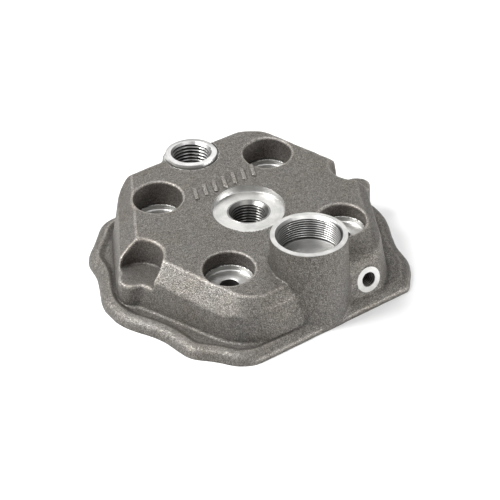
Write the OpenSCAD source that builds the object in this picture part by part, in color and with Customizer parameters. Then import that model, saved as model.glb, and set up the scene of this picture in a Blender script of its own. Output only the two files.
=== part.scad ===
// Water-cooled two-stroke cylinder head: one aluminium casting, two thread bushes and two deck seals.
// Millimetres, +Z up. Origin: on the spark plug axis, in the plane of the machined deck (bottom) face.
// -Y is the thermostat side, +Y the coolant outlet side.

/* [Section] */
// Part of the head to show

/* [Body] */
// Roof height above the deck on the spark plug axis
roof_h = 25; // [22:0.5:32]
// Rise of the roof toward the outlet side, degrees
roof_pitch = 5; // [0:0.5:8]
// Rise of the roof toward +X, degrees
roof_roll = 2.5; // [0:0.5:4]
// Draft of the outer walls, degrees
wall_draft = 10; // [4:1:14]
// Slope of the chamfer between roof and walls, degrees
chamfer_angle = 45; // [35:5:55]
// Thickness of the deck flange
flange_t = 4.5; // [3.5:0.5:8]
// Rounding of the flange outline
flange_round = 5; // [2:0.5:8]
// Distance from the origin to the straight front edge of the flange
edge_dist = 54.1; // [53:0.1:58]
// Turn of the straight front edge away from the X axis, degrees
edge_turn = 4; // [0:0.5:6]

/* [Studs] */
// Side of the square of stud holes
stud_square = 50.8; // [48:0.2:54]
// Diameter of the stud clearance holes
stud_hole_d = 7.2; // [6.6:0.1:8.4]
// Diameter of a stud pocket in the rough casting
pocket_d = 19.2; // [17:0.2:21]
// Diameter of the machined nut seat in a pocket
seat_d = 18; // [16:0.2:20]
// Depth of the machined part of a pocket
seat_depth = 2; // [0.5:0.1:3]
// Height of the nut seats at -X
left_seat_z = 14.5; // [12:0.5:18]
// Height of the nut seats at +X
right_seat_z = 17; // [12:0.5:20]
// Diameter of the stud columns through the water jacket
column_d = 11.6; // [11:0.2:14]

/* [Side recesses] */
// Distance of a side recess from the plug axis
recess_x = 49.3; // [47:0.1:52]
// Diameter of a side recess
recess_d = 18.6; // [14:0.2:20]
// Floor height of the recess at -X
left_floor_z = 12.7; // [10:0.1:16]
// Floor height of the recess at +X
right_floor_z = 16.3; // [12:0.1:18]
// Diameter of the rib that carries a recess floor
rib_d = 10.8; // [8:0.2:14]
// Distance of that rib from the plug axis
rib_x = 51.8; // [48:0.1:54]

/* [Plug port] */
// Height of the machined plug seat
plug_seat_z = 23.6; // [22:0.1:26]
// Diameter of the machined plug seat
plug_seat_d = 28; // [24:0.5:32]
// Minor diameter of the M14 x 1.25 plug thread
plug_thread_d = 12.65; // [12.4:0.05:13]
// Outer diameter of the plug thread insert
plug_insert_d = 16.8; // [16:0.1:18]
// Bottom of the plug thread insert
plug_insert_z = 9.5; // [8:0.5:12]
// Width of the lead-in chamfer of the plug thread
plug_lead = 1.5; // [0.5:0.1:2]

/* [Outlet port] */
// Distance of the outlet port from the plug axis, toward +Y
outlet_y = 41.6; // [38:0.1:44]
// Height of the outlet port rim
outlet_top_z = 29.5; // [27:0.5:34]
// Minor diameter of the M16 x 1.5 outlet thread
outlet_thread_d = 14.4; // [14:0.05:15]
// Diameter of the outlet collar
outlet_collar_d = 21; // [19:0.5:24]
// Height of the outlet collar above its seat
outlet_collar_h = 2.4; // [1:0.1:4]
// Diameter of the machined seat round the collar
outlet_seat_d = 22; // [21.5:0.1:26]
// Outer diameter of the bush below its collar
outlet_bush_d = 18; // [17:0.2:19]
// Bottom of the outlet bush
outlet_bush_z = 13; // [11:0.5:18]
// Diameter of the cast outlet boss
outlet_boss_d = 23; // [21:0.5:25]

/* [Thermostat port] */
// X position of the thermostat port
thermo_x = 1.4; // [-2:0.1:4]
// Distance of the thermostat port from the plug axis, toward -Y
thermo_y = 38.9; // [36:0.1:42]
// Height of the thermostat port rim
thermo_top_z = 34; // [30:0.5:38]
// Outer diameter of the machined rim
thermo_rim_d = 29; // [27:0.5:32]
// Diameter of the cast boss at the deck
thermo_foot_d = 30.8; // [29:0.2:34]
// Minor diameter of the M24 x 1 thermostat thread
thermo_thread_d = 22.9; // [22:0.05:24]
// Depth of the threaded bore
thermo_depth = 10.5; // [8:0.5:16]
// Diameter of the water passage below the bore
thermo_passage_d = 6; // [4:0.5:8]

/* [Bleed port] */
// X position of the bleed port
bleed_x = 22.2; // [18:0.1:26]
// Distance of the bleed port face from the plug axis, toward -Y
bleed_y = 47.9; // [46:0.1:52]
// Height of the bleed port
bleed_z = 10.3; // [9:0.1:14]
// Diameter of its machined face
bleed_face_d = 10.3; // [9:0.1:12]
// Minor diameter of the M6 x 1 bleed thread
bleed_thread_d = 5; // [4.8:0.05:5.6]
// Depth of the bleed thread
bleed_len = 8; // [6:0.5:9]

/* [Deck] */
// Diameter of the combustion chamber at the deck
chamber_d = 41; // [39:0.5:48]
// Diameter of the domed part of the chamber
dome_d = 27; // [24:0.5:32]
// Height of the dome above the deck
dome_h = 10.5; // [8:0.5:12]
// Inner diameter of the water jacket at the deck
jacket_in_d = 57; // [55:0.5:60]
// Outer diameter of the water jacket at the deck
jacket_out_d = 89; // [84:0.5:90]
// Height of the water jacket under the stud pockets
jacket_h = 10.5; // [8:0.5:12]
// Centre line diameter of the combustion seal
inner_seal_d = 49; // [46:0.5:52]
// Centre line diameter of the coolant seal
outer_seal_d = 94; // [92:0.5:96]
// Width of the seal grooves
groove_w = 2.6; // [2.2:0.1:3]
// Depth of the seal grooves
groove_depth = 2.1; // [1.8:0.1:2.6]
// Section diameter of the seals
seal_section_d = 2; // [1.8:0.1:2.4]

/* [Hidden] */
$fn = 64;
// Height at which the wall distances below are measured
wall_ref_z = 15;
// Half size of the cutting blocks
reach = 110;
// Overlap that keeps cuts clear of a face
eps = 0.5;
stud_xy = stud_square / 2;
outlet_seat_z = outlet_top_z - outlet_collar_h;
thermo_floor_z = thermo_top_z - thermo_depth;
// Radius and centre height of the sphere that forms the dome above the squish band
squish_rise = 2;
dome_rise = dome_h - squish_rise;
dome_r = (dome_d * dome_d / 4 + dome_rise * dome_rise) / (2 * dome_rise);
dome_z = dome_h - dome_r;
// Outer walls: direction of each wall, its distance at wall_ref_z, distance of its roof edge
walls = [
    [90, 48, 43.7],
    [125, 56, 52.6],
    [152.5, 51, 43.8],
    [201.5, 49, 43.2],
    [236, 55.5, 51],
    [270, 48.8, 45.4],
    [305, 54, 50],
    [334, 49, 43.8],
    [21, 49, 43.8],
    [56, 54, 50]
];
// Corners of the flange outline, counterclockwise from the left end of the straight edge
flange_corners = [
    [-32, -57], [37.5, -52.2], [41, -48.5], [48.5, -39.5], [50.5, -27], [59.5, -9],
    [61, 4], [54, 24], [53, 34], [44, 45], [36, 54], [-36, 54],
    [-44, 44.5], [-53, 35.5], [-54.5, 24], [-63, 5], [-62.5, -8], [-54, -24],
    [-52, -39.5], [-45, -46], [-40, -53.5]
];
// Diameter and depth of the drilling from the bleed thread into the water jacket
bleed_drill_d = 2.5;
bleed_drill_len = 15;
// Distance of the wall beside the bleed port at wall_ref_z
bleed_wall_dist = 47.5;
// The cut of the straight front edge reaches this high
edge_cut_z = 9;

// Solid half space outside a plane that leans inward toward the top
module outside_plane(direction, distance, lean) {
    rotate([0, 0, direction])
        translate([distance, 0, 0])
            rotate([0, -lean, 0])
                translate([0, -reach, -reach])
                    cube([reach, 2 * reach, 2 * reach]);
}

// Moves its children into the plane of the tilted roof
module on_roof() {
    translate([0, 0, roof_h])
        rotate([roof_pitch, -roof_roll, 0])
            children();
}

// Solid block inside the drafted walls
module walled_block() {
    difference() {
        translate([-75, -65, 0])
            cube([150, 130, 40]);
        for (w = walls)
            outside_plane(w[0], w[1] + wall_ref_z * tan(wall_draft), wall_draft);
    }
}

module roof_cut() {
    on_roof()
        translate([-reach, -reach, 0])
            cube([2 * reach, 2 * reach, reach]);
    for (w = walls)
        on_roof()
            outside_plane(w[0], w[2], chamfer_angle);
}

// The wall beside the bleed port stands further back, and leans into the roof in two steps
module bleed_wall_cut() {
    intersection() {
        union() {
            translate([0, 0, wall_ref_z])
                outside_plane(271.5, bleed_wall_dist, wall_draft);
            on_roof()
                outside_plane(271.5, 40.5, 62);
        }
        translate([thermo_x, -reach, flange_t])
            cube([reach, reach, reach]);
    }
}

module side_recess(side, floor_z) {
    translate([side * recess_x, 0, floor_z])
        cylinder(d = recess_d, h = reach);
}

module side_rib(side, floor_z) {
    translate([side * rib_x, 1, 0])
        cylinder(d = rib_d, h = floor_z);
}

module flange() {
    difference() {
        linear_extrude(height = flange_t)
            offset(r = flange_round)
                offset(delta = -flange_round)
                    polygon(flange_corners);
        outside_plane(270 + edge_turn, edge_dist, 0);
    }
}

// Raised generic casting mark: a row of slanted bars
module casting_mark() {
    on_roof()
        translate([1, 18.8, -eps])
            rotate([0, 0, -1])
                for (i = [-3 : 3])
                    translate([i * 4.4, 0, 0])
                        rotate([0, 0, -20])
                            translate([-0.9, -3.7, 0])
                                cube([1.8, 7.4, eps + 0.6]);
}

module cast_body() {
    difference() {
        union() {
            difference() {
                walled_block();
                roof_cut();
                bleed_wall_cut();
                side_recess(-1, left_floor_z);
                side_recess(1, right_floor_z);
            }
            flange();
            side_rib(-1, left_floor_z);
            side_rib(1, right_floor_z);
            translate([0, outlet_y, 0])
                cylinder(d = outlet_boss_d, h = outlet_seat_z);
            translate([thermo_x, -thermo_y, 0])
                cylinder(d1 = thermo_foot_d, d2 = thermo_rim_d, h = thermo_top_z - 1.5);
            translate([thermo_x, -thermo_y, 0])
                cylinder(d = thermo_rim_d, h = thermo_top_z);
            at_bleed_port()
                translate([0, 0, -bleed_len])
                    cylinder(d = bleed_face_d, h = bleed_len);
            casting_mark();
        }
        intersection() {
            outside_plane(270 + edge_turn, edge_dist, 0);
            translate([-reach, -reach, -eps])
                cube([2 * reach, 2 * reach, edge_cut_z]);
        }
    }
}

module stud_pocket(x, y, seat_z) {
    translate([x * stud_xy, y * stud_xy, 0]) {
        translate([0, 0, -eps])
            cylinder(d = stud_hole_d, h = roof_h);
        translate([0, 0, seat_z])
            cylinder(d = seat_d, h = roof_h);
        translate([0, 0, seat_z + seat_depth])
            cylinder(d = pocket_d, h = roof_h);
    }
}

// Ring-shaped jacket that rises over the combustion dome, open at the deck
module water_jacket() {
    difference() {
        rotate_extrude()
            polygon([
                [jacket_in_d / 2, -eps], [jacket_out_d / 2, -eps], [jacket_out_d / 2, 7],
                [41, jacket_h], [25.5, jacket_h], [22, 18], [12.5, 18],
                [12.5, 15.5], [19, 13.5], [25, 9], [jacket_in_d / 2, 5]
            ]);
        for (x = [-1, 1], y = [-1, 1])
            translate([x * stud_xy, y * stud_xy, -2 * eps])
                cylinder(d = column_d, h = roof_h);
        for (side = [-1, 1])
            translate([side * recess_x, 0, -2 * eps])
                cylinder(d = recess_d + 7, h = roof_h);
    }
}

module chamber() {
    rotate_extrude()
        polygon([
            [0, -eps], [chamber_d / 2, -eps], [chamber_d / 2, 0.8], [dome_d / 2, squish_rise], [0, squish_rise]
        ]);
    difference() {
        translate([0, 0, dome_z])
            sphere(r = dome_r);
        translate([-reach, -reach, -2 * reach + 1])
            cube([2 * reach, 2 * reach, 2 * reach]);
    }
}

module seal_groove(d) {
    rotate_extrude()
        translate([d / 2 - groove_w / 2, -eps])
            square([groove_w, groove_depth + eps]);
}

module seal(d) {
    rotate_extrude()
        translate([d / 2, groove_depth - seal_section_d / 2])
            circle(d = seal_section_d);
}

// Moves its children to the bleed port, with +Z along the bore and out of its mouth
module at_bleed_port() {
    translate([bleed_x, -bleed_y, bleed_z])
        rotate([90 - wall_draft, 0, 0])
            children();
}

module head_casting() {
    color([0.55, 0.54, 0.52])
        difference() {
            cast_body();
            stud_pocket(-1, -1, left_seat_z);
            stud_pocket(1, -1, right_seat_z);
            stud_pocket(-1, 1, left_seat_z);
            stud_pocket(1, 1, right_seat_z);
            translate([0, 0, plug_seat_z])
                cylinder(d = plug_seat_d, h = roof_h);
            translate([0, 0, -eps])
                cylinder(d = plug_insert_d, h = roof_h);
            translate([0, outlet_y, jacket_h - 3])
                cylinder(d = outlet_bush_d, h = roof_h);
            translate([0, outlet_y, outlet_seat_z])
                cylinder(d = outlet_seat_d, h = roof_h);
            translate([thermo_x, -thermo_y, thermo_floor_z])
                cylinder(d = thermo_thread_d, h = roof_h);
            translate([thermo_x, -thermo_y, thermo_top_z - 1])
                cylinder(d1 = thermo_thread_d, d2 = thermo_thread_d + 2.4, h = 1.2);
            translate([thermo_x, -thermo_y - 4, jacket_h - 5])
                cylinder(d = thermo_passage_d, h = roof_h);
            at_bleed_port() {
                cylinder(d = bleed_face_d + 1, h = roof_h);
                translate([0, 0, -bleed_len])
                    cylinder(d = bleed_thread_d, h = roof_h);
                translate([0, 0, -bleed_drill_len])
                    cylinder(d = bleed_drill_d, h = bleed_drill_len);
            }
            water_jacket();
            chamber();
            seal_groove(inner_seal_d);
            seal_groove(outer_seal_d);
        }
}

module plug_thread_insert() {
    color([0.8, 0.8, 0.79])
        difference() {
            translate([0, 0, plug_insert_z])
                cylinder(d = plug_insert_d, h = plug_seat_z - plug_insert_z);
            translate([0, 0, plug_insert_z - eps])
                cylinder(d = plug_thread_d, h = roof_h);
            translate([0, 0, plug_seat_z - plug_lead])
                cylinder(d1 = plug_thread_d, d2 = plug_thread_d + 2 * plug_lead, h = plug_lead);
        }
}

module outlet_port_bush() {
    color([0.82, 0.82, 0.81])
        translate([0, outlet_y, 0])
            difference() {
                union() {
                    translate([0, 0, outlet_bush_z])
                        cylinder(d = outlet_bush_d, h = outlet_top_z - outlet_bush_z);
                    translate([0, 0, outlet_seat_z])
                        cylinder(d = outlet_collar_d, h = outlet_collar_h);
                }
                translate([0, 0, outlet_bush_z - eps])
                    cylinder(d = outlet_thread_d, h = roof_h);
                translate([0, 0, outlet_top_z - 1])
                    cylinder(d1 = outlet_thread_d, d2 = outlet_thread_d + 2, h = 1);
            }
}

module combustion_oring() {
    color([0.08, 0.08, 0.08])
        seal(inner_seal_d);
}

module coolant_oring() {
    color([0.08, 0.08, 0.08])
        seal(outer_seal_d);
}

head_casting();
plug_thread_insert();
outlet_port_bush();
combustion_oring();
coolant_oring();
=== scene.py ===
"""Looks of a water-cooled two-stroke cylinder head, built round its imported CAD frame.

The cast skin is a distance field in millimetres, turned into a mesh and cut by the machined features.
"""
import math
import bpy
import numpy as np
from mathutils import Matrix, Vector


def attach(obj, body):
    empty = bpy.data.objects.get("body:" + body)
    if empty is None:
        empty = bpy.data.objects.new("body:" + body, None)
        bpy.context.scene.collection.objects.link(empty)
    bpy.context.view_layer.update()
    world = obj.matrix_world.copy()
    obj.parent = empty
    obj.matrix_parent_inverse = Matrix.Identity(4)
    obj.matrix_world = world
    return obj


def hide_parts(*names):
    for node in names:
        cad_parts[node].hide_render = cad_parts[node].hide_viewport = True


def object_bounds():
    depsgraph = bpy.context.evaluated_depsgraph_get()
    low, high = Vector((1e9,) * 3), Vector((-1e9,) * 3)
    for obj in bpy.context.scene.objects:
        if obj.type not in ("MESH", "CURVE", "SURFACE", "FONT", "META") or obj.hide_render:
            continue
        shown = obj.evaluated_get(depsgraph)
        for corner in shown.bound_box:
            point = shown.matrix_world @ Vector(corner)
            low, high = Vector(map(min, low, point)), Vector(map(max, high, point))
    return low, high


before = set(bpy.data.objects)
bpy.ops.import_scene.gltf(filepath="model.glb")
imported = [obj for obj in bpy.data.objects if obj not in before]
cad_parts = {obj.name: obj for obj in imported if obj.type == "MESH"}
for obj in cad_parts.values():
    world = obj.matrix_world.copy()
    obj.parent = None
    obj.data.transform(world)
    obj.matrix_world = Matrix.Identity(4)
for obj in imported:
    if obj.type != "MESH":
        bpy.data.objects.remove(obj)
cad_low, cad_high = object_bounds()
MM = 0.001

# ---- sizes in millimetres, as in the CAD model ----
ROOF_H, ROOF_PITCH, ROOF_ROLL = 25.0, 5.0, 2.5
WALL_REF_Z, DRAFT, FLANGE_T = 15.0, 10.0, 4.5
STUD = 25.4
POCKET_R, SEAT_R, SEAT_DEPTH, STUD_HOLE_R = 9.6, 9.0, 2.0, 3.6
SEAT_Z = {-1: 14.5, 1: 17.0}
RECESS_X, RECESS_R = 49.3, 9.3
RECESS_FLOOR = {-1: 12.7, 1: 16.3}
RIB_X, RIB_R = 51.8, 5.4
PLUG_SEAT_Z, PLUG_SEAT_R, PLUG_INSERT_R = 23.6, 14.0, 8.4
OUTLET_Y, OUTLET_TOP, OUTLET_SEAT_Z = 41.6, 29.5, 27.1
OUTLET_BOSS_R, OUTLET_BUSH_R, OUTLET_SEAT_R = 11.5, 9.0, 11.0
THERMO_X, THERMO_Y, THERMO_TOP, THERMO_FLOOR = 1.4, -38.9, 34.0, 23.5
BLEED_AT, BLEED_R = (22.2, -47.9, 10.3), 5.15
PLUG_THREAD_R, OUTLET_THREAD_R, THERMO_THREAD_R, BLEED_THREAD_R = 6.325, 7.2, 11.45, 2.5
THERMO_LEAD_R, BLEED_DRILL_R, BLEED_THREAD_LEN = 12.65, 1.25, 8.0
PASSAGE_R, PASSAGE_SHIFT = 3.0, 4.0
DOME_R, DOME_Z, CHAMBER_R = 14.97, -4.47, 20.5
SEALS, GROOVE_HALF, GROOVE_DEPTH = (24.5, 47.0), 1.3, 2.1
# Each wall: the way it faces in degrees from +X, its distance at WALL_REF_Z, its chamfer's at the roof.
WALLS = [
    (90, 48, 43.7), (125, 56, 52.6), (152.5, 51, 43.8), (201.5, 49, 43.2), (236, 55.5, 51),
    (270, 48.8, 45.4), (305, 54, 50), (334, 49, 43.8), (21, 49, 43.8), (56, 54, 50),
]
# Corners of the flange, before they are rounded.
FLANGE = [
    (-32, -57), (37.5, -52.2), (41, -48.5), (48.5, -39.5), (50.5, -27), (59.5, -9),
    (61, 4), (54, 24), (53, 34), (44, 45), (36, 54), (-36, 54),
    (-44, 44.5), (-53, 35.5), (-54.5, 24), (-63, 5), (-62.5, -8), (-54, -24),
    (-52, -39.5), (-45, -46), (-40, -53.5),
]
EDGE_TURN, EDGE_DIST = 4.0, 54.1
BLEED_WALL_TURN, BLEED_WALL_DIST, BLEED_SLOPE_DIST, BLEED_SLOPE = 271.5, 47.5, 40.5, 62
MARK_X, MARK_Y, MARK_PITCH, MARK_SLANT = 1.0, 18.8, 4.4, -21
LIP_DIP, LIP_ROUND = 1.2, 4.2
# Roughness of the cast skin: depth, size of the bumps and seed of each layer.
SKIN = ((0.09, 6.0, 1), (0.045, 2.2, 2), (0.03, 1.0, 3))
CELL = 0.42

# ---------------------------------------------------------------- distance field


def smax(a, b, k):
    """Largest of two distances, with the edge between them rounded over about k."""
    h = np.maximum(k - np.abs(a - b), 0.0) / k
    return np.maximum(a, b) + h * h * k / 4


def smin(a, b, k):
    """Smallest of two distances, with a fillet of about k."""
    return -smax(-a, -b, k)


def plane(x, y, z, direction, distance, lean):
    """Distance outside a plane that faces a direction, in degrees from +X, and leans inward at its top."""
    d, t = math.radians(direction), math.radians(lean)
    return (x * math.cos(d) + y * math.sin(d) - distance) * math.cos(t) + z * math.sin(t)


ROOF = (Matrix.Translation((0, 0, ROOF_H)) @ Matrix.Rotation(math.radians(-ROOF_ROLL), 4, "Y")
        @ Matrix.Rotation(math.radians(ROOF_PITCH), 4, "X"))


def to_roof(x, y, z):
    """Coordinates in the plane of the tilted roof."""
    m = np.array(ROOF.inverted(), dtype=np.float32)
    return [m[i, 0] * x + m[i, 1] * y + m[i, 2] * z + m[i, 3] for i in range(3)]


def rounded(points, radius):
    """The outline with each corner replaced by a short curve."""
    out = []
    n = len(points)
    for i in range(n):
        p = np.array(points[i], float)
        a = np.array(points[i - 1], float) - p
        b = np.array(points[(i + 1) % n], float) - p
        la, lb = np.linalg.norm(a), np.linalg.norm(b)
        reach = min(radius, 0.45 * la, 0.45 * lb)
        s, e = p + a / la * reach, p + b / lb * reach
        for t in np.linspace(0, 1, 6):
            out.append((1 - t) ** 2 * s + 2 * t * (1 - t) * p + t ** 2 * e)
    return np.array(out, dtype=np.float32)


OUTLINE = rounded(FLANGE, 6.0)


def outline_distance(x, y):
    """Signed distance to the flange outline, for points of any shape."""
    x, y = np.broadcast_arrays(x, y)
    best = np.full(x.shape, 1e9, np.float32)
    inside = np.zeros(x.shape, bool)
    for a, b in zip(OUTLINE, np.roll(OUTLINE, -1, axis=0)):
        e = b - a
        px, py = x - a[0], y - a[1]
        t = np.clip((px * e[0] + py * e[1]) / (e @ e), 0, 1)
        best = np.minimum(best, (px - t * e[0]) ** 2 + (py - t * e[1]) ** 2)
        edge_x = (b[0] - a[0]) * (y - a[1]) / (b[1] - a[1] + 1e-12) + a[0]
        inside ^= ((a[1] > y) != (b[1] > y)) & (x < edge_x)
    d = np.sqrt(best)
    return np.where(inside, -d, d)


def flange_field(x, y, z):
    """The deck flange: a rolled lip that dips toward the body, and one straight sloped edge."""
    flat = outline_distance(x, y)
    rim_draft = math.radians(4)
    slope = flat * math.cos(rim_draft) + (z - FLANGE_T) * math.sin(rim_draft)
    straight, chamfer_z, chamfer_lean = 270 + EDGE_TURN, 1.6, 48
    edge = smax(plane(x, y, z - chamfer_z, straight, EDGE_DIST, chamfer_lean),
                plane(x, y, z, straight, EDGE_DIST - 0.12, 0), 0.5)
    inner = np.clip((-flat - 3.2) / 3.0, 0, 1)
    deeper_left = 0.35 + 0.65 * np.clip((20 - x) / 40, 0, 1)
    top = FLANGE_T - LIP_DIP * inner * inner * (3 - 2 * inner) * deeper_left
    return smax(smax(slope, z - top, LIP_ROUND), edge, 1.0)


def body_field(x, y, z):
    """The drafted body with its tilted roof and chamfers, set back beside the bleed port."""
    rx, ry, rz = to_roof(x, y, z)
    walls = facets = None
    for direction, distance, edge in WALLS:
        w = plane(x, y, z - WALL_REF_Z, direction, distance, DRAFT)
        c = plane(rx, ry, rz, direction, edge, 45)
        walls = w if walls is None else smax(walls, w, 4.0)
        facets = c if facets is None else smax(facets, c, 1.2)
    d = smax(smax(walls, facets, 0.4), rz, 0.5)
    low = smax(d, plane(x, y, z - WALL_REF_Z, BLEED_WALL_TURN, BLEED_WALL_DIST, DRAFT), 1.5)
    low = smax(low, plane(rx, ry, rz, BLEED_WALL_TURN, BLEED_SLOPE_DIST, BLEED_SLOPE), 3.0)
    return np.where(x > THERMO_X, low, d)


def pillar(x, y, cx, cy, r):
    """Distance to an endless upright cylinder."""
    return np.hypot(x - cx, y - cy) - r


def cast_field(x, y, z):
    """Signed distance to the cast surface, before its roughness and before any machining."""
    d = body_field(x, y, z)
    for side in (-1, 1):
        d = smin(d, pillar(x, y, side * RIB_X, 1.0, RIB_R), 2.0)
    d = smax(d, z - 33.0, 1.0)
    for side in (-1, 1):
        recess = smax(pillar(x, y, side * RECESS_X, 0.0, RECESS_R), RECESS_FLOOR[side] - z, 1.2)
        d = smax(d, -recess, 1.1)
    d = smin(d, flange_field(x, y, z), 1.3)
    outlet = smax(pillar(x, y, 0.0, OUTLET_Y, OUTLET_BOSS_R), z - OUTLET_SEAT_Z - 0.2, 0.8)
    d = smin(d, outlet, 1.5)
    boss_r = 15.35 - 0.9 * z / THERMO_TOP
    boss = smax(pillar(x, y, THERMO_X, THERMO_Y, boss_r), z - THERMO_TOP - 2.0, 0.5)
    d = smin(d, boss, 0.9)
    for sx in (-1, 1):
        for sy in (-1, 1):
            hole = smax(pillar(x, y, sx * STUD, sy * STUD, POCKET_R), SEAT_Z[sx] + SEAT_DEPTH - z, 0.8)
            d = smax(d, -hole, 0.7)
    return smax(d, -jacket_field(x, y, z), 1.0)


def jacket_field(x, y, z):
    """Water jacket round the combustion dome, open at the deck."""
    ring_in, ring_out, ring_top = 28.5, 44.5, 10.5
    over_in, over_out, over_low, over_top, cover_r = 12.5, 22.0, 8.0, 18.0, 21.5
    post_r, recess_wall_r = 5.8, 12.8
    r = np.hypot(x, y)
    ring = smax(smax(r - ring_out, z - ring_top, 2.0), ring_in - r - 0.4 * np.maximum(z - 5, 0), 1.5)
    over = smax(smax(z - over_top, over_in - r, 1.0), r - over_out - 0.45 * (over_top - z), 1.0)
    shell = cover_r - np.sqrt(x * x + y * y + (z - DOME_Z) ** 2)
    over = smax(smax(over, shell, 1.5), over_low - z, 0.5)
    d = smin(ring, over, 2.0)
    for sx in (-1, 1):
        for sy in (-1, 1):
            d = smax(d, -pillar(x, y, sx * STUD, sy * STUD, post_r), 1.5)
    for side in (-1, 1):
        d = smax(d, -pillar(x, y, side * RECESS_X, 0.0, recess_wall_r), 1.5)
    return d


def noise(x, y, z, size, seed):
    """Smooth repeatable noise between -1 and 1 with bumps of about the given size."""
    table = np.random.default_rng(seed).uniform(-1, 1, (64, 64, 64)).astype(np.float32)
    cells, parts = [], []
    for c in (x, y, z):
        q = c / size + 1000.0
        i = np.floor(q).astype(np.int64)
        f = (q - i).astype(np.float32)
        cells.append(i)
        parts.append(f * f * (3 - 2 * f))
    out = 0.0
    for a in (0, 1):
        for b in (0, 1):
            for c in (0, 1):
                w = ((parts[0] if a else 1 - parts[0]) * (parts[1] if b else 1 - parts[1])
                     * (parts[2] if c else 1 - parts[2]))
                out = out + w * table[(cells[0] + a) & 63, (cells[1] + b) & 63, (cells[2] + c) & 63]
    return out


# ---------------------------------------------------------------- field to mesh


def close_sides(field):
    """Marks the outermost samples as empty, so that the surface is closed."""
    for axis in range(3):
        for end in (0, -1):
            side = [slice(None)] * 3
            side[axis] = end
            field[tuple(side)] = 1.0


def untangle(field):
    """Fills one sample wherever four in a square alternate, as the surface would touch itself there."""
    for _ in range(12):
        inside = field < 0
        found = 0
        for u, v in ((0, 1), (1, 2), (0, 2)):
            step_u, step_v = np.eye(3, dtype=int)[u], np.eye(3, dtype=int)[v]

            def shifted(a, move):
                return a[tuple(slice(m, (m - both) or None) for m, both in zip(move, step_u + step_v))]
            a, b = shifted(inside, 0 * step_u), shifted(inside, step_u)
            c, d = shifted(inside, step_u + step_v), shifted(inside, step_v)
            crossed = np.argwhere((a == c) & (b == d) & (a != b))
            found += len(crossed)
            for p in crossed:
                options = [tuple(p), tuple(p + step_u), tuple(p + step_u + step_v), tuple(p + step_v)]
                best = min((o for o in options if field[o] >= 0), key=lambda o: field[o], default=None)
                if best:
                    field[best] = -0.01
        if not found:
            return


def surface_net(field, low, cell):
    """Vertices and quads of the zero surface of a sampled field."""
    inside = field < 0
    counts = sum(inside[i:i - 1 or None, j:j - 1 or None, k:k - 1 or None].astype(np.int8)
                 for i in (0, 1) for j in (0, 1) for k in (0, 1))
    cells = np.argwhere((counts > 0) & (counts < 8))
    corner = {}
    for i in (0, 1):
        for j in (0, 1):
            for k in (0, 1):
                corner[i, j, k] = field[cells[:, 0] + i, cells[:, 1] + j, cells[:, 2] + k]
    total = np.zeros((len(cells), 3))
    hits = np.zeros(len(cells))
    for a in corner:
        for axis in range(3):
            if a[axis]:
                continue
            b = tuple(1 if n == axis else a[n] for n in range(3))
            va, vb = corner[a], corner[b]
            cross = (va < 0) != (vb < 0)
            t = np.where(cross, va / np.where(cross, va - vb, 1.0), 0.0)
            for n in range(3):
                total[:, n] += np.where(cross, a[n] + (t if n == axis else 0.0), 0.0)
            hits += cross
    points = (cells + total / hits[:, None]) * cell + np.array(low)
    index = np.full(counts.shape, -1, np.int64)
    index[tuple(cells.T)] = np.arange(len(cells))
    quads = []
    for axis in range(3):
        a = np.take(inside, range(0, inside.shape[axis] - 1), axis)
        b = np.take(inside, range(1, inside.shape[axis]), axis)
        edges = np.argwhere(a != b)
        u, v = [n for n in range(3) if n != axis]
        edges = edges[(edges[:, u] > 0) & (edges[:, v] > 0)
                      & (edges[:, u] < index.shape[u]) & (edges[:, v] < index.shape[v])]
        ring = []
        for du, dv in ((1, 1), (0, 1), (0, 0), (1, 0)):
            c = edges.copy()
            c[:, u] -= du
            c[:, v] -= dv
            ring.append(index[tuple(c.T)])
        quad = np.stack(ring, axis=1)
        flip = a[tuple(edges.T)] == (axis == 1)
        quad[flip] = quad[flip][:, ::-1]
        quads.append(quad)
    return points, np.concatenate(quads)


def mesh_object(name, points, faces):
    """A new object from points in millimetres."""
    mesh = bpy.data.meshes.new(name)
    mesh.from_pydata((np.asarray(points) * MM).tolist(), [], [list(map(int, f)) for f in faces])
    mesh.validate()
    obj = bpy.data.objects.new(name, mesh)
    bpy.context.collection.objects.link(obj)
    return obj


# ---------------------------------------------------------------- machined shapes


def placed(obj, place):
    """Moves a mesh by a placement in millimetres."""
    obj.data.transform(Matrix.Translation(place.to_translation() * MM) @ place.to_3x3().to_4x4())
    return obj


def turned(name, profile, segments=144, place=Matrix.Identity(4)):
    """A closed solid turned about Z. A profile that starts and ends on the axis is capped there."""
    pts, faces, rings = [], [], []
    for r, z in profile:
        if r < 1e-6:
            rings.append([len(pts)])
            pts.append((0.0, 0.0, z))
        else:
            rings.append(list(range(len(pts), len(pts) + segments)))
            for s in range(segments):
                t = 2 * math.pi * s / segments
                pts.append((r * math.cos(t), r * math.sin(t), z))
    pairs = list(zip(rings, rings[1:]))
    if len(rings[0]) > 1:
        pairs.append((rings[-1], rings[0]))
    for lo, hi in pairs:
        for s in range(segments):
            n = (s + 1) % segments
            if len(lo) == 1:
                faces.append((lo[0], hi[n], hi[s]))
            elif len(hi) == 1:
                faces.append((lo[s], lo[n], hi[0]))
            else:
                faces.append((lo[s], lo[n], hi[n], hi[s]))
    return placed(mesh_object(name, pts, faces), place)


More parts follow.
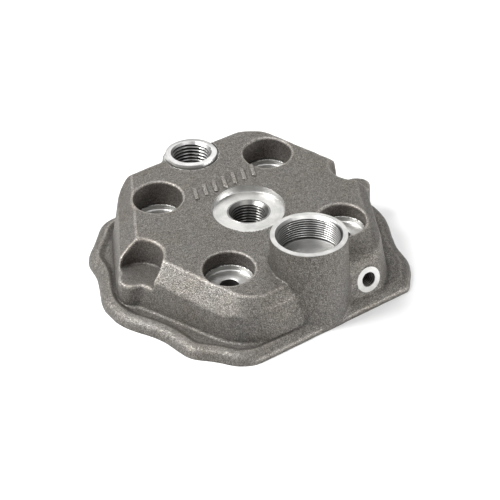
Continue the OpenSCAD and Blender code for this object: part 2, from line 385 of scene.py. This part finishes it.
def tap(name, minor, pitch, low, high, place=Matrix.Identity(4), segments=120, steps=14, depth=None):
    """A screw-shaped solid that cuts an internal thread of the given minor radius."""
    depth = depth or 0.54 * pitch
    rows = int(math.ceil((high - low) / pitch * steps))
    z = np.linspace(low, high, rows + 1)
    t = np.arange(segments) * 2 * math.pi / segments
    zz, tt = np.meshgrid(z, t, indexing="ij")
    phase = (zz / pitch - tt / (2 * math.pi)) % 1.0
    tooth = np.clip(1.35 - np.abs(phase - 0.5) * 3.2, 0, 1)
    ease = np.clip((zz - low) / (0.8 * pitch), 0, 1)
    r = minor + depth * tooth * ease
    pts = np.stack([r * np.cos(tt), r * np.sin(tt), zz], axis=-1).reshape(-1, 3)
    faces = []
    for i in range(rows):
        for s in range(segments):
            n = (s + 1) % segments
            low_row, high_row = i * segments, (i + 1) * segments
            faces.append((low_row + s, low_row + n, high_row + n, high_row + s))
    pts = np.vstack([pts, [[0, 0, low], [0, 0, high]]])
    bottom, top = len(pts) - 2, len(pts) - 1
    for s in range(segments):
        n = (s + 1) % segments
        faces.append((bottom, n, s))
        faces.append((top, rows * segments + s, rows * segments + n))
    return placed(mesh_object(name, pts, faces), place)


def cut(target, tools, operation="DIFFERENCE"):
    """Applies one boolean per tool and deletes the tools."""
    for tool in tools:
        before = len(target.data.polygons)
        mod = target.modifiers.new("cut", "BOOLEAN")
        mod.operation, mod.object, mod.solver = operation, tool, "MANIFOLD"
        evaluated = target.evaluated_get(bpy.context.evaluated_depsgraph_get())
        result = bpy.data.meshes.new_from_object(evaluated)
        if len(result.polygons) < 20 or len(result.polygons) == before:
            mod.solver = "EXACT"
            evaluated = target.evaluated_get(bpy.context.evaluated_depsgraph_get())
            result = bpy.data.meshes.new_from_object(evaluated)
            print("exact solver used for", tool.name)
        target.modifiers.clear()
        old = target.data
        target.data = result
        bpy.data.meshes.remove(old)
        bpy.data.objects.remove(tool)


def at(x, y, z=0.0):
    """A placement at a point, with no turn."""
    return Matrix.Translation((x, y, z))


BLEED = at(*BLEED_AT) @ Matrix.Rotation(math.radians(90 - DRAFT), 4, "X")
THERMO = at(THERMO_X, THERMO_Y)
OUTLET = at(0, OUTLET_Y)


def casting_mark():
    """Generic raised row of slanted bars on the roof, each a low round-ended block."""
    pts, faces = [], []
    turn = math.radians(MARK_SLANT)
    around, half_straight = 24, 2.75
    layers = ((0.95, -1.5), (0.95, 0.1), (0.80, 0.60), (0.58, 0.78))
    for i in range(-3, 4):
        first = len(pts)
        for width, height in layers:
            for n in range(around):
                t = 2 * math.pi * n / around
                a = width * math.cos(t)
                b = width * math.sin(t) + (half_straight if math.sin(t) >= 0 else -half_straight)
                u = a * math.cos(turn) - b * math.sin(turn) + MARK_X + MARK_PITCH * i
                v = a * math.sin(turn) + b * math.cos(turn) + MARK_Y
                pts.append(tuple(ROOF @ Vector((u, v, height))))
        for k in range(len(layers) - 1):
            low, high = first + around * k, first + around * (k + 1)
            for n in range(around):
                m = (n + 1) % around
                faces.append((low + n, low + m, high + m, high + n))
        faces.append([first + n for n in reversed(range(around))])
        faces.append([first + around * (len(layers) - 1) + n for n in range(around)])
    return mesh_object("mark", pts, faces)


def block(name, xs, ys, zs):
    """A plain box between two values on each axis, used only as a cutter."""
    return mesh_object(name, [(a, b, c) for a in xs for b in ys for c in zs],
                       [(0, 1, 3, 2), (4, 6, 7, 5), (0, 4, 5, 1), (2, 3, 7, 6), (0, 2, 6, 4), (1, 5, 7, 3)])


def cast_skin():
    """The rough casting as one closed mesh."""
    low, high = np.array([-65.0, -58.5, -1.7]), np.array([65.0, 57.0, 37.0])
    n = np.ceil((high - low) / CELL).astype(int) + 1
    axes = [(low[i] + CELL * np.arange(n[i])).astype(np.float32) for i in range(3)]
    x, y, z = axes[0][:, None, None], axes[1][None, :, None], axes[2][None, None, :]
    field = cast_field(x, y, z)
    near = np.abs(field) < 1.4  # only these samples can reach the surface
    i, j, k = np.nonzero(near)
    px, py, pz = axes[0][i], axes[1][j], axes[2][k]
    rough = sum(depth * noise(px, py, pz, size, seed) for depth, size, seed in SKIN)
    field[near] += rough.astype(np.float32)
    for axis, line in ((0, x), (1, y)):
        lowest, highest = cad_low[axis] / MM + 0.02, cad_high[axis] / MM - 0.02
        field = np.maximum(field, np.maximum(lowest - line, line - highest).astype(np.float32))
    close_sides(field)
    untangle(field)
    points, quads = surface_net(field, low, CELL)
    return mesh_object("head_casting_skin", points, quads)


def build_casting():
    """The casting with every machined face, bore and thread cut in it."""
    casting = cast_skin()
    tools = [block("deck", (-80, 80), (-80, 80), (-9, 0))]
    edge = block("edge", (EDGE_DIST, 90), (-90, 90), (-5, 9))
    edge.data.transform(Matrix.Rotation(math.radians(270 + EDGE_TURN), 4, "Z"))
    tools.append(edge)
    for sx in (-1, 1):
        for sy in (-1, 1):
            where = at(sx * STUD, sy * STUD)
            seat = SEAT_Z[sx]
            top = seat + SEAT_DEPTH + 0.4
            tools.append(turned("seat", [(0, -3), (STUD_HOLE_R, -3), (STUD_HOLE_R, seat - 0.3),
                                         (STUD_HOLE_R + 0.4, seat), (SEAT_R - 0.3, seat),
                                         (SEAT_R, seat + 0.3), (SEAT_R, top), (0, top)], 96, where))
    tools.append(turned("plug_seat", [(0, PLUG_SEAT_Z), (PLUG_SEAT_R - 0.3, PLUG_SEAT_Z),
                                      (PLUG_SEAT_R + 0.1, PLUG_SEAT_Z + 0.5),
                                      (PLUG_SEAT_R + 1.6, 40), (0, 40)]))
    tools.append(turned("plug_bore", [(0, -3), (PLUG_INSERT_R, -3), (PLUG_INSERT_R, 30), (0, 30)]))
    dome = [(0, DOME_Z + DOME_R)]
    for a in np.linspace(2, 64, 22):
        r, h = DOME_R * math.sin(math.radians(a)), DOME_Z + DOME_R * math.cos(math.radians(a))
        if h > 2.0:
            dome.append((r, h))
    floor_rim = [(13.5, 2.0), (CHAMBER_R - 0.2, 0.85), (CHAMBER_R, 0.5), (CHAMBER_R, -3), (0, -3)]
    tools.append(turned("chamber", list(reversed(dome + floor_rim))))
    for r in SEALS:
        near_r, far_r = r - GROOVE_HALF, r + GROOVE_HALF
        tools.append(turned("groove", [(near_r, -2), (far_r, -2), (far_r, GROOVE_DEPTH),
                                       (near_r, GROOVE_DEPTH)], 192))
    tools.append(turned("outlet_bore", [(0, 7.5), (OUTLET_BUSH_R, 7.5), (OUTLET_BUSH_R, 34), (0, 34)],
                        144, OUTLET))
    tools.append(turned("outlet_seat", [(0, OUTLET_SEAT_Z), (OUTLET_SEAT_R, OUTLET_SEAT_Z),
                                        (OUTLET_SEAT_R + 0.2, 34), (0, 34)], 144, OUTLET))
    tools.append(turned("thermo_top", [(0, THERMO_TOP), (30, THERMO_TOP), (30, 40), (0, 40)], 96, THERMO))
    tools.append(turned("thermo_bevel", [(14.1, 34.5), (14.5, 34.05), (14.5, 33.7), (30, 33.7), (30, 34.5)],
                        144, THERMO))
    tools.append(tap("thermo_tap", THERMO_THREAD_R, 1.0, 24.6, THERMO_TOP + 1, THERMO))
    tools.append(turned("thermo_bore", [(0, THERMO_FLOOR), (11.2, THERMO_FLOOR),
                                        (11.75, THERMO_FLOOR + 0.4), (11.95, 24.6),
                                        (11.5, 25.0), (0, 25.0)], 144, THERMO))
    tools.append(turned("thermo_lead", [(0, 33), (THERMO_THREAD_R, 33), (THERMO_LEAD_R, THERMO_TOP),
                                        (THERMO_LEAD_R, 36), (0, 36)], 144, THERMO))
    tools.append(turned("thermo_passage", [(0, 5.5), (PASSAGE_R, 5.5), (PASSAGE_R, 26), (0, 26)],
                        64, at(THERMO_X, THERMO_Y - PASSAGE_SHIFT)))
    tools.append(turned("bleed_face", [(0, 0), (BLEED_R, 0), (BLEED_R + 0.5, 0.5),
                                       (BLEED_R + 0.5, 12), (0, 12)], 96, BLEED))
    tools.append(tap("bleed_tap", BLEED_THREAD_R, 1.0, -BLEED_THREAD_LEN, 0.8, BLEED, 64, 12, 0.35))
    tools.append(turned("bleed_lead", [(0, -0.5), (BLEED_THREAD_R, -0.5), (2.95, 0), (2.95, 2), (0, 2)],
                        64, BLEED))
    tools.append(turned("bleed_drill", [(0, -15), (BLEED_DRILL_R, -15), (BLEED_DRILL_R, -7), (0, -7)],
                        32, BLEED))
    pad = turned("bleed_pad", [(0, -4), (BLEED_R, -4), (BLEED_R, 0), (0, 0)], 96, BLEED)
    cut(casting, [pad, casting_mark()], "UNION")
    cut(casting, tools)
    return casting


def build_insert():
    """The threaded insert of the plug port."""
    body = turned("plug_thread", [(0, 9.5), (8.1, 9.5), (PLUG_INSERT_R, 9.8), (PLUG_INSERT_R, 23.45),
                                  (8.25, PLUG_SEAT_Z), (0, PLUG_SEAT_Z)])
    cut(body, [tap("plug_tap", PLUG_THREAD_R, 1.25, 9.0, 24.5),
               turned("plug_lead", [(0, 22.1), (PLUG_THREAD_R, 22.1), (7.825, PLUG_SEAT_Z),
                                    (7.825, 25), (0, 25)])])
    return body


def build_bush():
    """The collared, threaded bush of the outlet port."""
    body = turned("outlet_bush", [(0, 13), (8.7, 13), (OUTLET_BUSH_R, 13.4),
                                  (OUTLET_BUSH_R, OUTLET_SEAT_Z), (10.0, OUTLET_SEAT_Z),
                                  (10.3, OUTLET_SEAT_Z + 0.25), (10.5, OUTLET_SEAT_Z + 0.6),
                                  (10.5, OUTLET_TOP - 0.5), (10.3, OUTLET_TOP - 0.15), (9.9, OUTLET_TOP),
                                  (0, OUTLET_TOP)], 144, OUTLET)
    cut(body, [tap("outlet_tap", OUTLET_THREAD_R, 1.5, 12.5, OUTLET_TOP + 1, OUTLET),
               turned("outlet_lead", [(0, 28.4), (OUTLET_THREAD_R, 28.4), (8.2, OUTLET_TOP),
                                      (8.2, 31), (0, 31)], 144, OUTLET)])
    return body


def build_ring(name, r):
    """An O-ring with the thin mould line that such rings have round their inside and outside."""
    profile = []
    for i in range(20):
        a = 2 * math.pi * i / 20
        flash = 0.03 if i % 10 == 0 else 0.0
        profile.append((r + (0.97 + flash) * math.cos(a), 1.1 + 1.0 * math.sin(a)))
    return turned(name, profile, 192)


# ---------------------------------------------------------------- materials

# Thread roots are darkened with painted shade; this is how dark, as a part of the crest.
THREAD_ROOT_SHADE = 0.12  # brightness of a thread's root, as a part of its crest's


def material(name):
    """A new node material, its tree and its shader."""
    m = bpy.data.materials.new(name)
    m.use_nodes = True
    tree = m.node_tree
    return m, tree, tree.nodes["Principled BSDF"]


def noise_node(tree, vector, scale, detail=4.0, rough=0.6):
    """Noise whose coarsest bumps are 1 / scale metres across."""
    n = tree.nodes.new("ShaderNodeTexNoise")
    n.inputs["Scale"].default_value = scale
    n.inputs["Detail"].default_value = detail
    n.inputs["Roughness"].default_value = rough
    tree.links.new(vector, n.inputs["Vector"])
    return n


def ramp(tree, source, out, stops):
    """A colour ramp fed by one output of a node."""
    r = tree.nodes.new("ShaderNodeValToRGB")
    r.color_ramp.elements[0].position, r.color_ramp.elements[0].color = stops[0][0], (*stops[0][1], 1)
    r.color_ramp.elements[1].position, r.color_ramp.elements[1].color = stops[-1][0], (*stops[-1][1], 1)
    for pos, col in stops[1:-1]:
        r.color_ramp.elements.new(pos).color = (*col, 1)
    tree.links.new(source.outputs[out], r.inputs["Fac"])
    return r


def grey(v):
    """A neutral colour."""
    return (v, v, v)


def multiply(tree, a, b):
    """The product of two colour sockets."""
    m = tree.nodes.new("ShaderNodeMix")
    m.data_type, m.blend_type = "RGBA", "MULTIPLY"
    m.inputs[0].default_value = 1.0
    tree.links.new(a, m.inputs[6])
    tree.links.new(b, m.inputs[7])
    return m.outputs[2]


def bump_chain(tree, bsdf, layers):
    """Bumps from several height sockets, each with its depth in metres."""
    last = None
    for height, distance, strength in layers:
        b = tree.nodes.new("ShaderNodeBump")
        b.inputs["Distance"].default_value = distance
        b.inputs["Strength"].default_value = strength
        tree.links.new(height, b.inputs["Height"])
        if last is not None:
            tree.links.new(last.outputs["Normal"], b.inputs["Normal"])
        last = b
    tree.links.new(last.outputs["Normal"], bsdf.inputs["Normal"])


def attribute(tree, name):
    """Reads one of the numbers stored on the mesh points."""
    n = tree.nodes.new("ShaderNodeAttribute")
    n.attribute_name = name
    return n


def cast_material(name, dark, mid, light, roughness):
    """Sand-like as-cast aluminium: grey with warm mottling, dark pits and bright grains."""
    m, tree, bsdf = material(name)
    vector = tree.nodes.new("ShaderNodeTexCoord").outputs["Object"]
    blotch = noise_node(tree, vector, 70, 5, 0.6)
    grain = noise_node(tree, vector, 2600, 2, 0.6)
    medium = noise_node(tree, vector, 800, 4, 0.65)
    wear_and_painted_light = attribute(tree, "wear_and_painted_light")
    base = ramp(tree, grain, "Fac", [(0.30, dark), (0.5, mid), (0.68, light)])
    warm = ramp(tree, blotch, "Fac", [(0.35, (0.93, 0.90, 0.86)), (0.65, (1.0, 1.0, 1.0))])
    spots = ramp(tree, medium, "Fac", [(0.34, grey(0.76)), (0.5, grey(1.0)), (0.7, grey(1.22))])
    c = multiply(tree, base.outputs["Color"], warm.outputs["Color"])
    c = multiply(tree, c, spots.outputs["Color"])
    # Painted shade darkens hollow corners, and painted highlights brighten convex edges on top of edge
    # wear.
    edges = ramp(tree, wear_and_painted_light, "Fac", [(0.0, grey(0.40)), (0.44, grey(1.0)), (0.56, grey(1.0)),
                                     (0.80, grey(1.8))])
    c = multiply(tree, c, edges.outputs["Color"])
    tree.links.new(c, bsdf.inputs["Base Color"])
    rough = ramp(tree, grain, "Fac", [(0.35, grey(min(roughness + 0.12, 1))),
                                      (0.72, grey(roughness - 0.14))])
    tree.links.new(rough.outputs["Color"], bsdf.inputs["Roughness"])
    bsdf.inputs["Metallic"].default_value = 0.85
    bump_chain(tree, bsdf, [(medium.outputs["Fac"], 0.00042, 0.5), (grain.outputs["Fac"], 0.00018, 0.6)])
    return m


def machined_material(name, colour, roughness, ring_mm, strength):
    """Turned metal: fine concentric tool marks along the stored turning radius, and thread roots darkened
    with painted shade.
    """
    m, tree, bsdf = material(name)
    vector = tree.nodes.new("ShaderNodeTexCoord").outputs["Object"]
    turning = attribute(tree, "turning")
    scaled = tree.nodes.new("ShaderNodeMath")
    scaled.operation = "MULTIPLY"
    scaled.inputs[1].default_value = 1.0 / ring_mm
    tree.links.new(turning.outputs["Fac"], scaled.inputs[0])
    lines = tree.nodes.new("ShaderNodeTexNoise")
    lines.noise_dimensions = "1D"
    lines.inputs["Scale"].default_value = 1.0
    lines.inputs["Detail"].default_value = 3.0
    tree.links.new(scaled.outputs[0], lines.inputs["W"])
    patch = noise_node(tree, vector, 160, 4, 0.6)
    fine = noise_node(tree, vector, 1300, 2, 0.5)
    tone = ramp(tree, lines, "Fac", [(0.3, tuple(0.80 * c for c in colour)), (0.7, colour)])
    stain = ramp(tree, patch, "Fac", [(0.36, grey(0.78)), (0.6, grey(1.0))])
    c = multiply(tree, tone.outputs["Color"], stain.outputs["Color"])
    # Painted shade in the thread roots.
    painted_root_shade = ramp(tree, attribute(tree, "cavity"), "Fac", [(0.0, grey(1.0)), (0.35, grey(0.55)),
                                                          (0.9, grey(THREAD_ROOT_SHADE))])
    c = multiply(tree, c, painted_root_shade.outputs["Color"])
    tree.links.new(c, bsdf.inputs["Base Color"])
    rough = ramp(tree, lines, "Fac", [(0.3, grey(roughness + 0.12)), (0.7, grey(roughness))])
    tree.links.new(rough.outputs["Color"], bsdf.inputs["Roughness"])
    bsdf.inputs["Metallic"].default_value = 1.0
    bump_chain(tree, bsdf, [(lines.outputs["Fac"], 0.00006, strength), (fine.outputs["Fac"], 0.00003, 0.4)])
    return m


def rubber_material():
    """Dull black rubber with a fine grain."""
    m, tree, bsdf = material("seal_rubber_look")
    vector = tree.nodes.new("ShaderNodeTexCoord").outputs["Object"]
    n = noise_node(tree, vector, 900, 3, 0.6)
    tone = ramp(tree, n, "Fac", [(0.3, grey(0.012)), (0.7, grey(0.03))])
    tree.links.new(tone.outputs["Color"], bsdf.inputs["Base Color"])
    bsdf.inputs["Roughness"].default_value = 0.5
    bump_chain(tree, bsdf, [(n.outputs["Fac"], 0.00005, 0.3)])
    return m


def face_arrays(mesh):
    """Centres in millimetres and normals of all faces."""
    n = len(mesh.polygons)
    centre, normal = np.empty(n * 3), np.empty(n * 3)
    mesh.polygons.foreach_get("center", centre)
    mesh.polygons.foreach_get("normal", normal)
    return centre.reshape(-1, 3) / MM, normal.reshape(-1, 3)


def vertex_array(mesh):
    """Points in millimetres."""
    co = np.empty(len(mesh.vertices) * 3)
    mesh.vertices.foreach_get("co", co)
    return co.reshape(-1, 3) / MM


def store(mesh, name, values):
    """Stores one number for each point of a mesh."""
    layer = mesh.attributes.new(name, "FLOAT", "POINT")
    layer.data.foreach_set("value", np.asarray(values, np.float32))


def store_turning(mesh, centres):
    """Stores each vertex's radius plus height about the nearest turning axis, for the tool marks."""
    co = vertex_array(mesh)
    best = np.full(len(co), 1e9)
    value = np.zeros(len(co))
    for cx, cy, reach in centres:
        r = np.hypot(co[:, 0] - cx, co[:, 1] - cy)
        closer = (r < reach) & (r < best)
        best[closer], value[closer] = r[closer], r[closer] + 0.9 * co[closer, 2]
    far = best > 1e8
    value[far] = np.hypot(co[far, 0], co[far, 1])
    store(mesh, "turning", value)


def store_cavity(mesh, wells):
    """How deep each vertex lies in the thread of its bore, from 0 at the crest to 1 at the root; the shader
    paints shade into the roots by it.
    """
    co = vertex_array(mesh)
    value = np.zeros(len(co))
    for place, minor, depth, low, high in wells:
        local = co @ np.array(place.inverted().to_3x3()).T + np.array(place.inverted().to_translation())
        r = np.hypot(local[:, 0], local[:, 1])
        held = (r < minor + depth + 0.02) & (local[:, 2] > low) & (local[:, 2] < high)
        value[held] = np.clip((r[held] - minor) / depth, 0, 1)
    store(mesh, "cavity", value)


def store_wear_and_painted_light(mesh):
    """Convex edges toward 1 and hollow corners toward 0, from the bend of the distance field; the shader
    darkens the hollows as painted shade and brightens the edges as edge wear with a painted highlight.
    """
    co = vertex_array(mesh).astype(np.float32)
    x, y, z = co.T
    step, gain, mark_painted_highlight = 0.9, 0.42, 0.72
    bend = -6 * cast_field(x, y, z)
    for axis in range(3):
        for sign in (-step, step):
            moved = [x, y, z]
            moved[axis] = moved[axis] + sign
            bend = bend + cast_field(*moved)
    wear_and_painted_light = np.clip(0.5 + gain * bend / step, 0, 1)
    rx, ry, rz = to_roof(x, y, z)
    # The top of the raised mark is lightened, a painted highlight.
    wear_and_painted_light[(rz > 0.45) & (np.abs(ry - MARK_Y) < 5) & (np.abs(rx - MARK_X) < 17)] = mark_painted_highlight
    store(mesh, "wear_and_painted_light", wear_and_painted_light)


def finish_mesh(obj, angle):
    """Smooth shading, with edges sharper than angle degrees kept."""
    for p in obj.data.polygons:
        p.use_smooth = True
    obj.data.set_sharp_from_angle(angle=math.radians(angle))


# The last slot holds the bores, coloured darker as painted shade.
CAST, MILLED, SHADE, THREAD, SHADED_BORE = range(5)


def sort_faces(mesh):
    """Gives each face of the casting its material slot, by where it lies; later rules win."""
    centre, normal = face_arrays(mesh)
    cx, cy, cz = centre.T
    off_skin = np.abs(cast_field(cx, cy, cz)) > 0.30
    slot_index = np.full(len(centre), CAST)
    radius = np.hypot(cx, cy)
    for sx in (-1, 1):
        for sy in (-1, 1):
            r = np.hypot(cx - sx * STUD, cy - sy * STUD)
            wall = ((r > POCKET_R - 0.5) & (r < POCKET_R + 0.35) & (cz > SEAT_Z[sx] + 1.5)
                    & (np.abs(normal[:, 2]) < 0.5))
            # The pocket walls take the darker copy of the cast skin, a painted shade.
            slot_index[wall] = SHADE
            slot_index[(r < SEAT_R + 0.2) & (cz > SEAT_Z[sx] - 0.5) & (cz < SEAT_Z[sx] + 2.6)] = MILLED
            slot_index[(r < STUD_HOLE_R + 0.05) & (cz < SEAT_Z[sx] - 0.2)] = SHADED_BORE
    for side in (-1, 1):
        r = np.hypot(cx - side * RECESS_X, cy)
        # The recess walls take the same painted shade.
        slot_index[(r > RECESS_R - 0.7) & (r < RECESS_R + 0.5) & (cz > RECESS_FLOOR[side] + 0.9)
                   & (np.abs(normal[:, 2]) < 0.5)] = SHADE
    slot_index[(cz < 0.01) & (normal[:, 2] < -0.9)] = MILLED
    turn = math.radians(270 + EDGE_TURN)
    along = cx * math.cos(turn) + cy * math.sin(turn)
    boss_foot = np.abs(cx - THERMO_X) < 0.9
    slot_index[(np.abs(along - EDGE_DIST) < 0.02) & (cz > 1.2) & (cz < 2.6) & boss_foot] = MILLED
    slot_index[(radius < PLUG_SEAT_R + 1.7) & (cz > PLUG_SEAT_Z - 0.05) & off_skin] = MILLED
    slot_index[(radius < PLUG_SEAT_R) & (cz > 23) & (normal[:, 2] > 0.5)] = MILLED
    slot_index[(radius < PLUG_INSERT_R + 0.05) & (cz < PLUG_SEAT_Z)] = SHADED_BORE
    slot_index[(radius < CHAMBER_R + 0.1) & (cz > 0.005) & (cz < 11) & (normal[:, 2] < 0.6)] = MILLED
    for r in SEALS:
        slot_index[(np.abs(radius - r) < GROOVE_HALF + 0.02) & (cz < GROOVE_DEPTH + 0.05)] = MILLED
    ro = np.hypot(cx, cy - OUTLET_Y)
    slot_index[(ro < OUTLET_SEAT_R + 0.15) & (cz > OUTLET_SEAT_Z - 0.02)] = MILLED
    slot_index[(ro < OUTLET_BUSH_R + 0.05) & (cz < OUTLET_SEAT_Z)] = SHADED_BORE
    rt = np.hypot(cx - THERMO_X, cy - THERMO_Y)
    slot_index[(rt < 14.9) & (cz > THERMO_TOP - 0.32)] = MILLED
    slot_index[(rt < THERMO_LEAD_R + 0.05) & (cz > THERMO_FLOOR - 0.05) & (cz < THERMO_TOP - 0.02)] = THREAD
    slot_index[(rt < 11.9) & (cz > THERMO_FLOOR - 0.05) & (cz < THERMO_FLOOR + 0.2)] = MILLED
    rp = np.hypot(cx - THERMO_X, cy - THERMO_Y + PASSAGE_SHIFT)
    slot_index[(rp < PASSAGE_R + 0.05) & (cz > 5.5) & (cz < THERMO_FLOOR)] = SHADED_BORE
    inverse = BLEED.inverted()
    local = centre @ np.array(inverse.to_3x3()).T + np.array(inverse.to_translation())
    rb = np.hypot(local[:, 0], local[:, 1])
    slot_index[(rb < BLEED_R + 0.02) & (np.abs(local[:, 2]) < 0.05)] = MILLED
    slot_index[(rb < 3.0) & (local[:, 2] < 0.02) & (local[:, 2] > -15)] = SHADED_BORE
    mesh.polygons.foreach_set("material_index", slot_index.astype(np.int32))


# ---------------------------------------------------------------- build

casting = build_casting()
cast = cast_material("cast_skin", (0.078, 0.074, 0.069), (0.138, 0.132, 0.124),
                     (0.25, 0.237, 0.221), 0.58)
# A darker copy of the cast skin for the pocket and recess walls: painted shade.
shade = cast_material("pocket_painted_shade_skin", (0.07, 0.063, 0.058), (0.125, 0.115, 0.107),
                      (0.20, 0.188, 0.175), 0.66)
milled = machined_material("milled_aluminium", (0.58, 0.575, 0.56), 0.38, 0.22, 0.5)
threads = machined_material("cut_thread", (0.62, 0.615, 0.60), 0.30, 0.30, 0.2)
# The plug insert's steel is made much darker than the bush's, a painted shade for the deep plug port.
insert_shaded_steel = machined_material("insert_steel_painted_shade", (0.24, 0.235, 0.227), 0.26, 0.20, 0.3)
bush_metal = machined_material("bush_steel", (0.60, 0.595, 0.585), 0.27, 0.20, 0.4)
# Bores get a darker copy of the machined metal: painted shade for their deep insides.
bore_painted_shade = machined_material("drilled_bore_painted_shade", (0.22, 0.21, 0.20), 0.45, 0.5, 0.5)
rubber = rubber_material()

mesh = casting.data
mesh.materials.clear()
for m in (cast, milled, shade, threads, bore_painted_shade):
    mesh.materials.append(m)
sort_faces(mesh)
store_turning(mesh, [(sx * STUD, sy * STUD, 10) for sx in (-1, 1) for sy in (-1, 1)]
              + [(0, 0, 16), (0, OUTLET_Y, 12), (THERMO_X, THERMO_Y, 16), (BLEED_AT[0], BLEED_AT[1], 7)])
store_cavity(mesh, [(THERMO, THERMO_THREAD_R, 0.54, THERMO_FLOOR, THERMO_TOP),
                    (BLEED, BLEED_THREAD_R, 0.35, -BLEED_THREAD_LEN, 0)])
store_wear_and_painted_light(mesh)
finish_mesh(casting, 38)

insert = build_insert()
insert.data.materials.clear()
insert.data.materials.append(insert_shaded_steel)
store_turning(insert.data, [(0, 0, 16)])
store_cavity(insert.data, [(at(0, 0), PLUG_THREAD_R, 0.67, 9, 22.1)])
finish_mesh(insert, 30)
bush = build_bush()
bush.data.materials.clear()
bush.data.materials.append(bush_metal)
store_turning(bush.data, [(0, OUTLET_Y, 16)])
store_cavity(bush.data, [(OUTLET, OUTLET_THREAD_R, 0.81, 12, 28.6)])
finish_mesh(bush, 30)
inner = build_ring("combustion_seal", SEALS[0])
outer = build_ring("coolant_seal", SEALS[1])
for ring in (inner, outer):
    ring.data.materials.append(rubber)
    finish_mesh(ring, 60)

for piece, node, slot in ((casting, "head_casting", "cast_aluminium"),
                          (insert, "plug_thread_insert", "insert_metal"),
                          (bush, "outlet_port_bush", "bush_metal"),
                          (inner, "combustion_oring", "seal_rubber"),
                          (outer, "coolant_oring", "seal_rubber")):
    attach(piece, "root")
    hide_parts(node)

# ---------------------------------------------------------------- stage, lights and camera

bpy.ops.mesh.primitive_plane_add(size=6.0, location=(0, 0, -0.00005))
floor = bpy.context.object
floor.name = "studio_floor"
paper, tree, bsdf = material("pale_floor")
bsdf.inputs["Base Color"].default_value = (0.64, 0.64, 0.64, 1)
bsdf.inputs["Roughness"].default_value = 0.9
bsdf.inputs["Specular IOR Level"].default_value = 0.1
bsdf.inputs["Emission Color"].default_value = (1, 1, 1, 1)
bsdf.inputs["Emission Strength"].default_value = 0.22
floor.data.materials.append(paper)

world = bpy.data.worlds.new("studio")
bpy.context.scene.world = world
world.use_nodes = True
world.node_tree.nodes["Background"].inputs["Color"].default_value = (1.0, 1.0, 1.0, 1)
world.node_tree.nodes["Background"].inputs["Strength"].default_value = 0.22

TARGET = Vector((0, 0, 0.012))


def outward(azimuth, elevation):
    """Unit vector from the part toward a viewer; azimuth 0 stands on the -Y side, and +X is 90."""
    a, e = math.radians(azimuth), math.radians(elevation)
    return Vector((math.sin(a) * math.cos(e), -math.cos(a) * math.cos(e), math.sin(e)))


def area_light(name, azimuth, elevation, distance, size, power):
    """A square soft box aimed at the part."""
    back = outward(azimuth, elevation)
    data = bpy.data.lights.new(name, "AREA")
    data.size, data.energy = size, power
    lamp = bpy.data.objects.new(name, data)
    lamp.location = TARGET + back * distance
    lamp.rotation_euler = (-back).to_track_quat("-Z", "Y").to_euler()
    bpy.context.collection.objects.link(lamp)


area_light("key", -110, 48, 0.9, 0.45, 15.0)
area_light("back", 148, 44, 1.0, 0.8, 3.8)
area_light("front", 5, 64, 1.0, 0.6, 3.0)
area_light("right", 42, 10, 1.1, 0.5, 10.0)

AZIMUTH, ELEVATION, ROLL, DISTANCE = -32.17, 33.22, -1.70, 0.752
SENSOR_MM, LENS_MM, SHIFT = 36.0, 141.12, (0.0028, -0.0834)
back = outward(AZIMUTH, ELEVATION)
azimuth, roll = math.radians(AZIMUTH), math.radians(ROLL)
right = Vector((math.cos(azimuth), math.sin(azimuth), 0))
up = back.cross(right)
side = right * math.cos(roll) + up * math.sin(roll)
top = -right * math.sin(roll) + up * math.cos(roll)
data = bpy.data.cameras.new("camera")
data.sensor_width, data.lens = SENSOR_MM, LENS_MM
data.shift_x, data.shift_y = SHIFT
data.clip_start, data.clip_end = 0.01, 10.0
camera = bpy.data.objects.new("camera", data)
camera.matrix_world = Matrix((
    (side.x, top.x, back.x, back.x * DISTANCE),
    (side.y, top.y, back.y, back.y * DISTANCE),
    (side.z, top.z, back.z, back.z * DISTANCE + ROOF_H * MM),
    (0, 0, 0, 1)))
bpy.context.collection.objects.link(camera)
bpy.context.scene.camera = camera
bpy.context.scene.view_settings.view_transform = "Standard"
